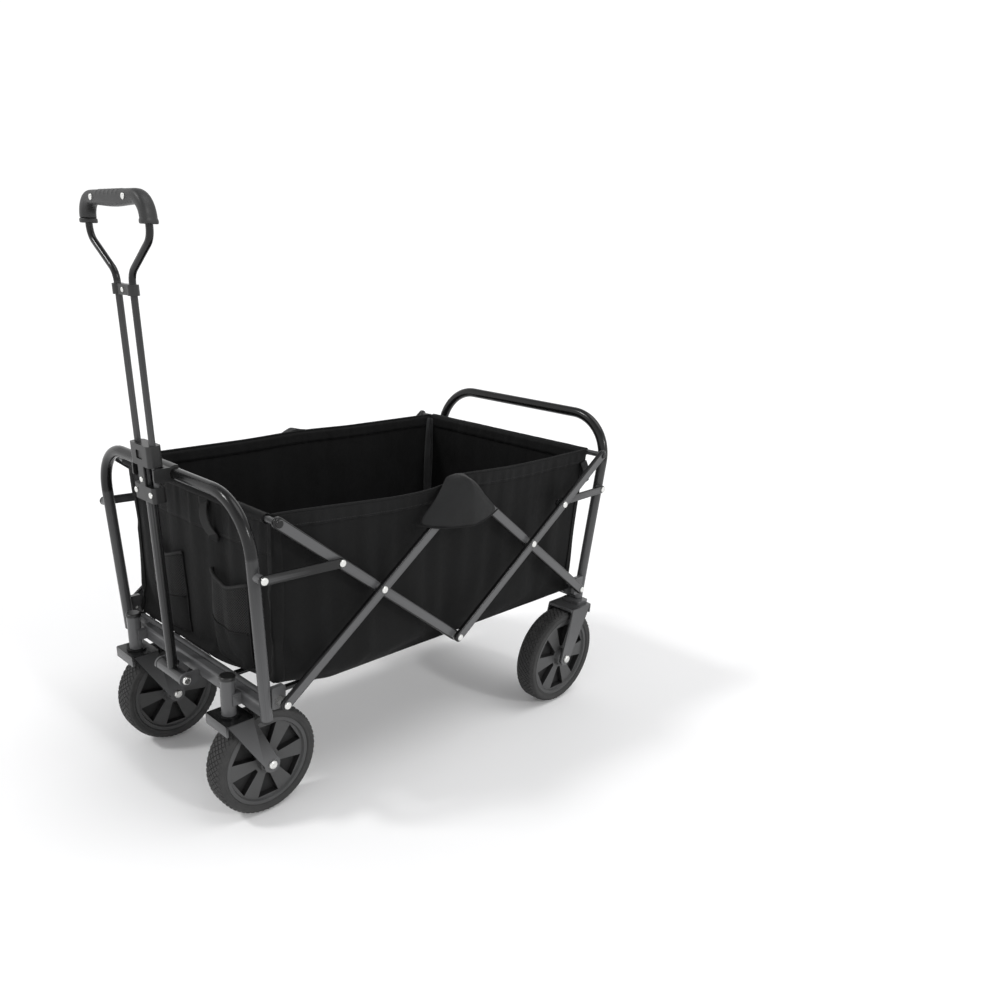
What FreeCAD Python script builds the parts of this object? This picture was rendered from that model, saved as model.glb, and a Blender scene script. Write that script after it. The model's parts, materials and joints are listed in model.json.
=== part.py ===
import FreeCAD, Part
import math
import os

# Folding camp wagon, open and standing on level ground, millimetres.
# X is across the wagon, +Y runs from the handle end to the rear, +Z is up.
# Everything is drawn from the front posts (y = 0) and moved once, at the end,
# so that the origin is the bottom centre of the bounding box.

V = FreeCAD.Vector

# ---------------------------------------------------------------- dimensions
TUBE_R = 9.5                  # frame tube radius
POST_X = 223.5                # post centre line, left and right
FRONT_TOP = 558.0             # centre line of the front frame's top bar, up the posts
REAR_TOP = 586.0              # the rear frame is taller: it is the push bar
FRONT_LEAN, REAR_LEAN = 3.5, -5.0        # both end frames lean outwards, degrees
CORNER_R = 85.0               # bend radius of both frames
FRONT_FOOT, REAR_FOOT = 212.0, 216.0
CAP_H = 5.0                   # foot plug below the tube's end
BAR_Z = (215.5, 240.5)        # lower crossbars, 25 high
BAR_Y = 9.0

OPEN_DEG, FOLD_DEG = 36.5, 82.0          # scissor bar angle, open and folded
HALF_OUT, HALF_IN = 236.5, 230.0         # bar length either side of the crossing
PIVOT_Z = 243.0               # lower scissor pivots
PIVOT_Y = 18.0                # pivots stand this far inside the posts
LINK_Z = 449.0                # post pin of the short links
LINK_AHEAD = 14.0             # and how far outside the foot of the post it is
INNER = (235.0, 243.0)        # the two bar layers, as distance from the centre
OUTER = (245.5, 253.5)
BAR_W = 18.5
PIN_R = 3.0
HEAD_R, HEAD_H = 6.0, 2.6

FRONT_WHEEL_R, REAR_WHEEL_R = 97.0, 101.0
TYRE_HALF = 22.0
CASTER_X, CASTER_Y, CASTER_TRAIL = 154.0, -24.0, 58.0
REAR_AXLE_BACK = 60.0         # rear axle ahead of the rear post
AXLE_R = 4.0

HINGE_Y, HINGE_Z = -34.0, 216.0          # handle hinge
HANDLE_LEAN = 2.3
LOWER_R = 8.5                 # lower tube of the handle
THIN_X, THIN_R = 22.5, 5.0    # pair of sliding tubes
U_CLAMP = (298.5, 322.5)      # heights along the handle, from the hinge
U_TAB = (323.0, 353.0)
U_BRACKET = (353.0, 385.0)
U_BRIDGE = (590.5, 604.5)
U_GRIP = 711.5                # centre line of the grip
BRACKET_Y, CLAMP_Y, BRIDGE_Y = 12.0, 11.5, 4.8        # half depths of the mouldings
GRIP_R = 11.0
SLIDE = U_BRIDGE[0] - U_BRACKET[1]

FLOOR_LEN = 316.0
FLOOR_Z = 232.0
FLOOR_RODS = (-188.0, -97.0, 97.0, 188.0)

BAG_X, CLOTH = 216.5, 2.5
BAG_FLOOR_Z, BAG_TOP_Z = 240.2, 524.0
POCKET_X, POCKET_HALF = 102.0, 52.0

T0, T1 = math.radians(OPEN_DEG), math.radians(FOLD_DEG)
SPAN = 2.0 * (HALF_OUT + HALF_IN) * math.cos(T0)      # front to rear pivots
REAR_Y = SPAN + 2.0 * PIVOT_Y                         # rear post line
TOP_Z = PIVOT_Z + 2.0 * HALF_OUT * math.sin(T0)       # upper bar ends

# Scissor pivots of one side, as (y, z).
c, s = math.cos(T0), math.sin(T0)
P_FRONT = (PIVOT_Y, PIVOT_Z)
P_CROSS1 = (PIVOT_Y + HALF_OUT * c, PIVOT_Z + HALF_OUT * s)
P_TOP_MID = (PIVOT_Y + (HALF_OUT + HALF_IN) * c, PIVOT_Z + (HALF_OUT + HALF_IN) * s)
P_LOW_MID = (P_TOP_MID[0], TOP_Z - (HALF_OUT + HALF_IN) * s)
P_FRONT_TOP = (PIVOT_Y, TOP_Z)


def rearward(p):
    """The same point seen from the rear frame."""
    return (REAR_Y - p[0], p[1])


P_REAR, P_CROSS2, P_REAR_TOP = rearward(P_FRONT), rearward(P_CROSS1), rearward(P_FRONT_TOP)


def link_on_bar():
    """Distance down the bar at which the link is as long folded as open."""
    back, low = PIVOT_Y + LINK_AHEAD, TOP_Z - LINK_Z
    high = low + 2.0 * HALF_OUT * (math.sin(T1) - s)
    opened, folded = back * c - low * s, back * math.cos(T1) - high * math.sin(T1)
    return (high ** 2 - low ** 2) / (2.0 * (opened - folded))


LINK_ON_BAR = link_on_bar()
P_LINK_FRONT = (PIVOT_Y + LINK_ON_BAR * c, TOP_Z - LINK_ON_BAR * s)
P_LINK_REAR = rearward(P_LINK_FRONT)

parts = {}


# ------------------------------------------------------------------- helpers
def box(x0, x1, y0, y1, z0, z1):
    return Part.makeBox(x1 - x0, y1 - y0, z1 - z0, V(x0, y0, z0))


def cyl_x(r, x0, x1, y, z):
    return Part.makeCylinder(r, abs(x1 - x0), V(min(x0, x1), y, z), V(1, 0, 0))


def cyl_z(r, x, y, z0, z1):
    return Part.makeCylinder(r, z1 - z0, V(x, y, z0), V(0, 0, 1))


def edges_along(shape, axis, tol=1e-3):
    """Straight edges parallel to an axis."""
    found = []
    for edge in shape.Edges:
        if edge.Curve.TypeId == "Part::GeomLine":
            t = edge.tangentAt(edge.FirstParameter)
            if abs(abs(t.dot(axis)) - 1.0) < tol:
                found.append(edge)
    return found


def soft_box(x0, x1, y0, y1, z0, z1, r, axis):
    shape = box(x0, x1, y0, y1, z0, z1)
    return shape.makeFillet(r, edges_along(shape, axis))


def pipe(wire, r, start, direction):
    ring = Part.Wire([Part.makeCircle(r, start, direction)])
    return wire.makePipeShell([ring], True, False)


def arc(a, b, c3):
    return Part.Arc(a, b, c3).toShape()


def leaned(shape, y, foot, degrees):
    """A part of an end frame, tilted with it about the foot of its posts."""
    shape = shape.copy()
    shape.rotate(V(0, y, foot), V(1, 0, 0), degrees)
    return shape


def post_space(y, gap, side=1):
    """The room that a leaning post takes, with a gap round it."""
    foot, degrees = (FRONT_FOOT, FRONT_LEAN) if y == 0.0 else (REAR_FOOT, REAR_LEAN)
    return leaned(cyl_z(TUBE_R + gap, side * POST_X, y, foot - 30.0, foot + 330.0), y, foot, degrees)


def both(make):
    """A right-hand solid and its mirror image, as two separate solids."""
    right = make()
    return [right, right.mirror(V(0, 0, 0), V(1, 0, 0))]


def group(solids):
    return Part.makeCompound(solids)


def domed(shape_r, x0, x1, y, z):
    """Rivet head from x0 outwards to x1, rounded on the outside."""
    head = cyl_x(shape_r, x0, x1, y, z)
    rim = [e for e in head.Edges if e.Curve.TypeId == "Part::GeomCircle"
           and abs(e.Curve.Center.x - x1) < 1e-6]
    return head.makeFillet(abs(x1 - x0) * 0.75, rim)


def rivet(steps, y, z, head_at):
    """Stepped pin along X. steps = [(radius, x0, x1), ...], head from head_at."""
    shape = domed(HEAD_R, head_at, head_at + HEAD_H, y, z)
    for r, x0, x1 in steps:
        shape = shape.fuse(cyl_x(r, x0, x1, y, z))
    return shape.removeSplitter()


def mirrored(shape):
    return shape.mirror(V(0, 0, 0), V(1, 0, 0))


def flat_bar(layer, a, b, holes, width=BAR_W, round_edge=2.6):
    """Flat-sided bar with full-round ends between the points a and b of a side."""
    (y0, z0), (y1, z1) = a, b
    length = math.hypot(y1 - y0, z1 - z0)
    uy, uz = (y1 - y0) / length, (z1 - z0) / length
    ny, nz = -uz * width / 2.0, uy * width / 2.0
    x = layer[0]
    p = [V(x, y0 + ny, z0 + nz), V(x, y1 + ny, z1 + nz),
         V(x, y1 - ny, z1 - nz), V(x, y0 - ny, z0 - nz)]
    far = V(x, y1 + uy * width / 2.0, z1 + uz * width / 2.0)
    near = V(x, y0 - uy * width / 2.0, z0 - uz * width / 2.0)
    wire = Part.Wire([Part.makeLine(p[0], p[1]), arc(p[1], far, p[2]),
                      Part.makeLine(p[2], p[3]), arc(p[3], near, p[0])])
    shape = Part.Face(wire).extrude(V(layer[1] - layer[0], 0, 0))
    rims = [e for e in shape.Edges
            if abs(e.Vertexes[0].X - e.Vertexes[-1].X) < 1e-6]
    shape = shape.makeFillet(round_edge, rims)
    for (y, z), r in holes:
        shape = shape.cut(cyl_x(r, layer[0] - 1, layer[1] + 1, y, z))
    return shape


# ------------------------------------------------------------------- U frames
def u_frame(y, top, foot):
    r = CORNER_R
    q = r * math.sin(math.radians(45))
    xs = POST_X - r

    def wire():
        a, b = V(-POST_X, y, foot), V(-POST_X, y, top - r)
        d, e = V(-xs, y, top), V(xs, y, top)
        f, g = V(POST_X, y, top - r), V(POST_X, y, foot)
        return Part.Wire([
            Part.makeLine(a, b), arc(b, V(-xs - q, y, top - r + q), d),
            Part.makeLine(d, e), arc(e, V(xs + q, y, top - r + q), f),
            Part.makeLine(f, g)])

    start, up = V(-POST_X, y, foot), V(0, 0, 1)
    return pipe(wire(), TUBE_R, start, up).cut(pipe(wire(), TUBE_R - 1.5, start, up))


def crossbar(y):
    bar = soft_box(-POST_X, POST_X, y - BAR_Y, y + BAR_Y, BAR_Z[0], BAR_Z[1], 4.0, V(1, 0, 0))
    bar = bar.cut(box(-POST_X, POST_X, y - BAR_Y + 1.6, y + BAR_Y - 1.6,
                      BAR_Z[0] + 1.6, BAR_Z[1] - 1.6))
    for side in (-1, 1):
        bar = bar.cut(post_space(y, 0.05, side))
    return bar


def post_cap(x, y, foot):
    cap = cyl_z(TUBE_R, x, y, foot - CAP_H, foot - 0.05)
    cap = cap.makeFillet(2.5, [e for e in cap.Edges if e.Curve.TypeId == "Part::GeomCircle"
                               and abs(e.Curve.Center.z - (foot - CAP_H)) < 1e-6])
    cap = cap.fuse(cyl_z(TUBE_R - 1.6, x, y, foot - 1.0, foot + 10.0)).removeSplitter()
    return leaned(cap, y, foot, FRONT_LEAN if y == 0.0 else REAR_LEAN)


def pivot_bracket(y_post, inward):
    """Plate on the outer face of the post that carries the lower scissor pin."""
    pin_y = y_post + inward * PIVOT_Y
    ys = sorted((y_post + inward * 4.0, pin_y + inward * 11.0))
    plate = soft_box(225.0, 233.4, ys[0], ys[1], PIVOT_Z - 13.0, PIVOT_Z + 24.0, 4.0, V(1, 0, 0))
    plate = plate.cut(post_space(y_post, 0.05))
    return plate.cut(cyl_x(PIN_R + 0.05, 220, 236, pin_y, PIVOT_Z))


def floor_ear(y_post, inward):
    """Small ear between the post and the floor frame's hinge tube."""
    y_axis = y_post + inward * PIVOT_Y
    ys = sorted((y_post + inward * (BAR_Y + 0.05), y_axis + inward * 7.0))
    ear = soft_box(205.6, 209.6, ys[0], ys[1], FLOOR_Z - 8.0, FLOOR_Z + 7.5, 3.0, V(1, 0, 0))
    return ear.fuse(cyl_x(4.0, 198.0, 206.0, y_axis, FLOOR_Z)).removeSplitter()


parts["front_u_frame"] = leaned(u_frame(0.0, FRONT_TOP, FRONT_FOOT), 0.0, FRONT_FOOT, FRONT_LEAN)
parts["rear_u_frame"] = leaned(u_frame(REAR_Y, REAR_TOP, REAR_FOOT), REAR_Y, REAR_FOOT, REAR_LEAN)
parts["front_crossbar"] = crossbar(0.0)
parts["rear_crossbar"] = crossbar(REAR_Y)

# Caster sockets in front of the crossbar, a welded saddle behind each.
parts["caster_sockets"] = group(both(
    lambda: cyl_z(12.0, CASTER_X, CASTER_Y, 200.0, 262.0).cut(
        cyl_z(8.3, CASTER_X, CASTER_Y, 199.0, 263.0))))


def socket_saddle():
    block = soft_box(CASTER_X - 15, CASTER_X + 15, CASTER_Y, -BAR_Y - 0.05, 217.0, 239.0,
                     4.0, V(0, 1, 0))
    return block.cut(cyl_z(12.05, CASTER_X, CASTER_Y, 190, 270))


def socket_cap():
    cap = cyl_z(13.5, CASTER_X, CASTER_Y, 262.05, 268.0)
    cap = cap.makeFillet(3.5, [e for e in cap.Edges if e.Curve.TypeId == "Part::GeomCircle"
                               and abs(e.Curve.Center.z - 268.0) < 1e-6])
    return cap.fuse(cyl_z(8.2, CASTER_X, CASTER_Y, 255.0, 262.2)).removeSplitter()


parts["front_caps"] = group(both(lambda: post_cap(POST_X, 0.0, FRONT_FOOT)) + both(socket_cap))
parts["rear_caps"] = group(both(lambda: post_cap(POST_X, REAR_Y, REAR_FOOT)))


def handle_ear():
    ear = box(38.2, 42.2, HINGE_Y, -BAR_Y - 0.05, HINGE_Z - 12.0, HINGE_Z + 12.0)
    ear = ear.fuse(cyl_x(12.0, 38.2, 42.2, HINGE_Y, HINGE_Z)).removeSplitter()
    return ear.cut(cyl_x(AXLE_R + 0.05, 37, 44, HINGE_Y, HINGE_Z))


parts["front_brackets"] = group(
    both(lambda: pivot_bracket(0.0, 1)) + both(socket_saddle)
    + both(handle_ear) + both(lambda: floor_ear(0.0, 1)))


def rear_mount():
    """Block between the rear crossbar and the fork crown."""
    block = soft_box(200.5, 244.0, REAR_Y - 24.0, REAR_Y + 9.0, 209.6, BAR_Z[0] - 0.05,
                     5.0, V(0, 0, 1))
    return block.cut(post_space(REAR_Y, 0.1))


parts["rear_brackets"] = group(
    both(lambda: pivot_bracket(REAR_Y, -1)) + both(rear_mount)
    + both(lambda: floor_ear(REAR_Y, -1)))


# Pins fixed to the frames: lower scissor pins, link pins and the hinge bolt.
def front_low_pin():
    return rivet([(PIN_R, 226.5, 254.5), (8.0, 233.5, 245.2)], P_FRONT[0], P_FRONT[1], OUTER[1] + 0.3)


def front_link_pin():
    pin = rivet([(PIN_R, 226.0, 250.5), (7.0, 226.0, 245.2)], -LINK_AHEAD, LINK_Z, 249.9)
    return pin.cut(post_space(0.0, 0.05))


def rear_low_pin():
    return rivet([(PIN_R, 226.5, 244.0), (8.0, 233.5, 234.7)], P_REAR[0], P_REAR[1], INNER[1] + 0.3)


def rear_link_pin():
    pin = rivet([(PIN_R, 226.0, 241.5), (7.0, 226.0, 236.2)], REAR_Y + LINK_AHEAD, LINK_Z, 240.9)
    return pin.cut(post_space(REAR_Y, 0.05))


def hinge_bolt():
    bolt = cyl_x(AXLE_R, -42.6, 42.6, HINGE_Y, HINGE_Z)
    for side in (1, -1):
        bolt = bolt.fuse(domed(7.5, side * 42.3, side * 47.0, HINGE_Y, HINGE_Z))
    return bolt.removeSplitter()


parts["front_pins"] = group(both(front_low_pin) + both(front_link_pin) + [hinge_bolt()])


# ----------------------------------------------------------------------- forks
def fork(x, y_axle, z_axle, y0, y1, top, lip):
    """Pressed steel fork: crown plate, two tapered legs and a folded front lip."""
    crown = soft_box(x - 31, x + 31, y0, y1, top - 5.0, top, 4.0, V(0, 0, 1))
    shape = crown
    for side in (-1, 1):
        xs = sorted((x + side * 28.0, x + side * 31.0))
        pts = [V(xs[0], y0 + 2.0, top - 2.0), V(xs[0], y1 - 2.0, top - 2.0),
               V(xs[0], y_axle + 15.0, z_axle), V(xs[0], y_axle - 15.0, z_axle)]
        leg = Part.Face(Part.makePolygon(pts + pts[:1])).extrude(V(3.0, 0, 0))
        leg = leg.fuse(cyl_x(15.0, xs[0], xs[1], y_axle, z_axle))
        shape = shape.fuse(leg)
    lip_y = sorted((lip, lip + (3.0 if lip < y_axle else -3.0)))
    shape = shape.fuse(box(x - 30.5, x + 30.5, lip_y[0], lip_y[1], top - 19.0, top - 1.0))
    shape = shape.removeSplitter()
    return shape.cut(cyl_x(AXLE_R + 0.1, x - 40, x + 40, y_axle, z_axle))


def axle_bolt(x, y, z):
    bolt = cyl_x(AXLE_R, x - 32.0, x + 32.0, y, z)
    for side in (1, -1):
        bolt = bolt.fuse(domed(8.0, x + side * 31.1, x + side * 36.0, y, z))
        bolt = bolt.fuse(cyl_x(7.0, x + side * 25.4, x + side * 27.9, y, z))
    return bolt.removeSplitter()


AXLE_Y = CASTER_Y + CASTER_TRAIL
REAR_AXLE_Y = REAR_Y - REAR_AXLE_BACK


def caster(side):
    x = side * CASTER_X
    body = fork(x, AXLE_Y, FRONT_WHEEL_R, CASTER_Y - 24.0, CASTER_Y + 28.0, 197.0,
                CASTER_Y - 24.0)
    body = body.fuse(cyl_z(17.0, x, CASTER_Y, 196.9, 199.7))
    body = body.fuse(cyl_z(8.0, x, CASTER_Y, 196.0, 252.0)).removeSplitter()
    return group([body, axle_bolt(x, AXLE_Y, FRONT_WHEEL_R)])


parts["caster_fork_right"] = caster(1)
parts["caster_fork_left"] = caster(-1)
parts["rear_forks"] = group(both(
    lambda: fork(POST_X, REAR_AXLE_Y, REAR_WHEEL_R, REAR_Y - 58.0, REAR_Y + 6.0, 209.5,
                 REAR_Y + 6.0)))
parts["rear_pins"] = group(both(rear_low_pin) + both(rear_link_pin)
                           + both(lambda: axle_bolt(POST_X, REAR_AXLE_Y, REAR_WHEEL_R)))


# ---------------------------------------------------------------------- wheels
def revolved(profile, x, y, z):
    """Revolve an (offset along X, radius) outline about the axle."""
    pts = [V(x + a, y, z + r) for a, r in profile]
    face = Part.Face(Part.makePolygon(pts + pts[:1]))
    return face.revolve(V(x, y, z), V(1, 0, 0), 360)


def tyre(x, y, big_r):
    h = TYRE_HALF
    prof = [(-h + 2.5, big_r - 18.0), (-h, big_r - 15.0), (-h, big_r - 9.0), (-h + 3.0, big_r - 3.5),
            (-h + 9.0, big_r - 0.7), (0.0, big_r), (h - 9.0, big_r - 0.7), (h - 3.0, big_r - 3.5),
            (h, big_r - 9.0), (h, big_r - 15.0), (h - 2.5, big_r - 18.0)]
    return revolved(prof, x, y, big_r)


def hub(x, y, big_r):
    rim = big_r - 18.1
    prof = [(-25.0, AXLE_R + 0.3), (-25.0, 15.0), (-23.0, 17.0), (-15.0, 19.0), (-15.0, rim - 8.0),
            (-19.0, rim - 6.0), (-19.0, rim), (19.0, rim), (19.0, rim - 6.0), (15.0, rim - 8.0),
            (15.0, 19.0), (23.0, 17.0), (25.0, 15.0), (25.0, AXLE_R + 0.3)]
    shape = revolved(prof, x, y, big_r)
    r0, r1 = 24.0, rim - 10.0
    for k in range(6):
        mid = math.radians(60.0 * k + 30.0)
        ring = []
        for r, half in ((r0, 9.0), (r1, 17.0)):
            for sign in ((-1, 1) if r == r0 else (1, -1)):
                a = mid + sign * math.radians(half)
                ring.append((y + r * math.cos(a), big_r + r * math.sin(a)))
        pts = [V(x - 16.0, p[0], p[1]) for p in ring]
        wedge = Part.Face(Part.makePolygon(pts + pts[:1])).extrude(V(32.0, 0, 0))
        wedge = wedge.cut(box(x - 4.0, x + 4.0, y - 150, y + 150, 0, 250))
        shape = shape.cut(wedge)
    return shape


for name, x, y, big_r in (("front_right", CASTER_X, AXLE_Y, FRONT_WHEEL_R),
                          ("front_left", -CASTER_X, AXLE_Y, FRONT_WHEEL_R),
                          ("rear_right", POST_X, REAR_AXLE_Y, REAR_WHEEL_R),
                          ("rear_left", -POST_X, REAR_AXLE_Y, REAR_WHEEL_R)):
    parts["tyre_" + name] = tyre(x, y, big_r)
    parts["wheel_" + name] = hub(x, y, big_r)


# ------------------------------------------------------- side scissors, 4 bars
OWN, LOOSE = PIN_R + 0.05, PIN_R + 0.3


def through_rivet(p):
    """Rivet through both layers, with the washer that keeps them apart."""
    shape = rivet([(PIN_R, 233.6, 254.0), (8.0, INNER[1] + 0.2, OUTER[0] - 0.1)],
                  p[0], p[1], OUTER[1] + 0.05)
    return shape.fuse(cyl_x(5.0, 233.0, 234.7, p[0], p[1])).removeSplitter()


def side_parts():
    out = {}
    out["bar_b1"] = flat_bar(OUTER, P_FRONT, P_TOP_MID,
                             [(P_FRONT, LOOSE), (P_CROSS1, OWN), (P_TOP_MID, OWN)])
    out["bar_a1"] = flat_bar(INNER, P_FRONT_TOP, P_LOW_MID,
                             [(P_FRONT_TOP, LOOSE), (P_CROSS1, LOOSE), (P_LOW_MID, LOOSE)])
    out["bar_a2"] = flat_bar(OUTER, P_LOW_MID, P_REAR_TOP,
                             [(P_LOW_MID, OWN), (P_CROSS2, OWN), (P_REAR_TOP, LOOSE),
                              (P_LINK_REAR, OWN)])
    out["bar_b2"] = flat_bar(INNER, P_TOP_MID, P_REAR,
                             [(P_TOP_MID, LOOSE), (P_CROSS2, LOOSE), (P_REAR, LOOSE)])
    out["rivets_b1"] = group([through_rivet(P_CROSS1), through_rivet(P_TOP_MID)])
    link_rivet = rivet([(PIN_R, OUTER[0], 254.0)], P_LINK_REAR[0], P_LINK_REAR[1], OUTER[1] + 0.05)
    out["rivets_a2"] = group([through_rivet(P_LOW_MID), through_rivet(P_CROSS2), link_rivet])
    front_pin, rear_pin = (-LINK_AHEAD, LINK_Z), (REAR_Y + LINK_AHEAD, LINK_Z)
    link = flat_bar((245.6, 249.6), front_pin, P_LINK_FRONT, [(front_pin, LOOSE)],
                    width=15.0, round_edge=1.2)
    link = link.fuse(domed(HEAD_R, 249.5, 252.3, P_LINK_FRONT[0], P_LINK_FRONT[1]))
    out["link_front"] = link.removeSplitter()
    out["link_rear"] = flat_bar((236.6, 240.6), rear_pin, P_LINK_REAR,
                                [(rear_pin, LOOSE)], width=15.0, round_edge=1.2)
    return out


for key, shape in side_parts().items():
    parts[key + "_right"] = shape
    parts[key + "_left"] = mirrored(shape)


def rim_rod(p, inner_end, outer_end):
    """Rod across the wagon inside the bag's hem, stepped down into the bar ends."""
    rod = cyl_x(5.0, -inner_end, inner_end, p[0], p[1])
    rod = rod.fuse(cyl_x(PIN_R, -outer_end, outer_end, p[0], p[1]))
    for side in (1, -1):
        rod = rod.fuse(domed(HEAD_R, side * outer_end, side * (outer_end + HEAD_H), p[0], p[1]))
    return rod.removeSplitter()


parts["front_rim_rod"] = rim_rod(P_FRONT_TOP, INNER[0] - 0.3, INNER[1] + 0.3)
parts["rear_rim_rod"] = rim_rod(P_REAR_TOP, OUTER[0] - 0.3, OUTER[1] + 0.3)


# ----------------------------------------------------------------- floor frames
def floor_frame(y_axis, inward):
    hinge = cyl_x(7.0, -205.0, 205.0, y_axis, FLOOR_Z)
    tip_y = y_axis + inward * FLOOR_LEN
    shape = hinge.fuse(cyl_x(5.0, FLOOR_RODS[0] - 5, FLOOR_RODS[-1] + 5, tip_y, FLOOR_Z))
    for x in FLOOR_RODS:
        start = V(x, min(y_axis, tip_y) + 2.0, FLOOR_Z)
        shape = shape.fuse(Part.makeCylinder(5.0, FLOOR_LEN - 4.0, start, V(0, 1, 0)))
    shape = shape.removeSplitter()
    for side in (1, -1):
        shape = shape.cut(cyl_x(4.3, side * 196.0, side * 206.0, y_axis, FLOOR_Z))
    return shape


parts["floor_frame_front"] = floor_frame(PIVOT_Y, 1)
parts["floor_frame_rear"] = floor_frame(REAR_Y - PIVOT_Y, -1)


# ---------------------------------------------------------------------- handle
def lean(shape):
    """From the handle's own upright frame into its resting place on the clip."""
    shape = shape.copy()
    shape.rotate(V(0, 0, 0), V(1, 0, 0), HANDLE_LEAN)
    shape.translate(V(0, HINGE_Y, HINGE_Z))
    return shape


def lower_tube():
    barrel = cyl_x(11.0, -37.8, 37.8, 0.0, 0.0)
    shape = barrel.fuse(cyl_z(LOWER_R, 0.0, 0.0, 0.0, U_BRACKET[1] - 6.0)).removeSplitter()
    return shape.cut(cyl_x(AXLE_R + 0.3, -40, 40, 0.0, 0.0))


def top_bracket():
    body = soft_box(-29.5, 29.5, -BRACKET_Y, BRACKET_Y, U_BRACKET[0], U_BRACKET[1], 7.0,
                    V(0, 0, 1))
    tab = soft_box(-9.0, 9.0, -BRACKET_Y, -LOWER_R - 0.1, U_TAB[0], U_TAB[1] + 2.0, 1.5, V(0, 0, 1))
    body = body.fuse(tab).removeSplitter()
    body = body.cut(cyl_z(LOWER_R + 0.05, 0.0, 0.0, U_TAB[0] - 1, U_BRACKET[1] - 5.9))
    for x in (-THIN_X, THIN_X):
        body = body.cut(cyl_z(THIN_R + 0.35, x, 0.0, U_TAB[0], U_BRACKET[1] + 1))
    window = soft_box(-9.0, 9.0, -BRACKET_Y - 1.0, -BRACKET_Y + 2.2,
                      U_BRACKET[0] + 10.0, U_BRACKET[1] - 9.0, 2.0, V(0, 1, 0))
    return body.cut(window)


def slide_clamp():
    body = soft_box(-29.5, 29.5, -CLAMP_Y, CLAMP_Y, U_CLAMP[0], U_CLAMP[1], 6.0, V(0, 0, 1))
    body = body.cut(cyl_z(LOWER_R + 0.4, 0.0, 0.0, U_CLAMP[0] - 1, U_CLAMP[1] + 1))
    for x in (-THIN_X, THIN_X):
        body = body.cut(cyl_z(THIN_R + 0.05, x, 0.0, U_CLAMP[0] + 3, U_CLAMP[1] + 1))
    return body


def bridge_clamp():
    body = box(-THIN_X, THIN_X, -BRIDGE_Y, BRIDGE_Y, U_BRIDGE[0], U_BRIDGE[1])
    for x in (-THIN_X, THIN_X):
        body = body.fuse(cyl_z(THIN_R + 3.2, x, 0.0, U_BRIDGE[0], U_BRIDGE[1]))
        body = body.cut(cyl_z(THIN_R + 0.05, x, 0.0, U_BRIDGE[0] - 1, U_BRIDGE[1] + 1))
    return body


GRIP_X, GRIP_BEND, FLARE_R, FLARE_DEG = 87.5, 26.0, 24.0, 55.0
FLARE_START = U_BRIDGE[1] + 1.0


def loop_points():
    """Centre line of the right half of the loop: corners between its segments."""
    a = math.radians(FLARE_DEG)
    ca, sa, h = math.cos(a), math.sin(a), math.radians(FLARE_DEG / 2.0)
    p0 = V(THIN_X, 0, FLARE_START)
    mid1 = V(THIN_X + FLARE_R * (1 - math.cos(h)), 0, FLARE_START + FLARE_R * math.sin(h))
    p1 = V(THIN_X + FLARE_R * (1 - ca), 0, FLARE_START + FLARE_R * sa)
    run = (GRIP_X - THIN_X - 2 * FLARE_R * (1 - ca)) / sa
    p2 = V(p1.x + run * sa, 0, p1.z + run * ca)
    p3 = V(GRIP_X, 0, p2.z + FLARE_R * sa)
    mid2 = V(GRIP_X - FLARE_R * (1 - math.cos(h)), 0, p3.z - FLARE_R * math.sin(h))
    return p0, mid1, p1, p2, mid2, p3


def loop_wire(z_low):
    p0, m1, p1, p2, m2, p3 = loop_points()
    q = GRIP_BEND * math.sin(math.radians(45))
    b0 = V(GRIP_X, 0, U_GRIP - GRIP_BEND)
    bm = V(GRIP_X - GRIP_BEND + q, 0, U_GRIP - GRIP_BEND + q)
    b1 = V(GRIP_X - GRIP_BEND, 0, U_GRIP)

    def m(v):
        return V(-v.x, v.y, v.z)

    return Part.Wire([
        Part.makeLine(V(THIN_X, 0, z_low), p0), arc(p0, m1, p1), Part.makeLine(p1, p2),
        arc(p2, m2, p3), Part.makeLine(p3, b0), arc(b0, bm, b1), Part.makeLine(b1, m(b1)),
        arc(m(b1), m(bm), m(b0)), Part.makeLine(m(b0), m(p3)), arc(m(p3), m(m2), m(p2)),
        Part.makeLine(m(p2), m(p1)), arc(m(p1), m(m1), m(p0)),
        Part.makeLine(m(p0), V(-THIN_X, 0, z_low))])


def grip_wire(z_low):
    q = GRIP_BEND * math.sin(math.radians(45))
    b0 = V(GRIP_X, 0, U_GRIP - GRIP_BEND)
    bm = V(GRIP_X - GRIP_BEND + q, 0, U_GRIP - GRIP_BEND + q)
    b1 = V(GRIP_X - GRIP_BEND, 0, U_GRIP)

    def m(v):
        return V(-v.x, v.y, v.z)

    return Part.Wire([
        Part.makeLine(V(GRIP_X, 0, z_low), b0), arc(b0, bm, b1), Part.makeLine(b1, m(b1)),
        arc(m(b1), m(bm), m(b0)), Part.makeLine(m(b0), V(-GRIP_X, 0, z_low))])


LOOP_LOW = U_CLAMP[0] + 3.05
loop = pipe(loop_wire(LOOP_LOW), THIN_R, V(THIN_X, 0, LOOP_LOW), V(0, 0, 1))
GRIP_LOW = loop_points()[5].z + 5.0
grip = pipe(grip_wire(GRIP_LOW), GRIP_R, V(GRIP_X, 0, GRIP_LOW), V(0, 0, 1))
grip = grip.cut(pipe(grip_wire(GRIP_LOW - 5.0), THIN_R + 0.05,
                     V(GRIP_X, 0, GRIP_LOW - 5.0), V(0, 0, 1)))


def face_rivet(x, u, y_face, r=5.0, h=2.2):
    """Domed head on the forward face of a handle piece."""
    head = Part.makeCylinder(r, h, V(x, y_face, u), V(0, -1, 0))
    rim = [e for e in head.Edges if e.Curve.TypeId == "Part::GeomCircle"
           and abs(e.Curve.Center.y - (y_face - h)) < 1e-6]
    return head.makeFillet(h * 0.7, rim)


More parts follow.
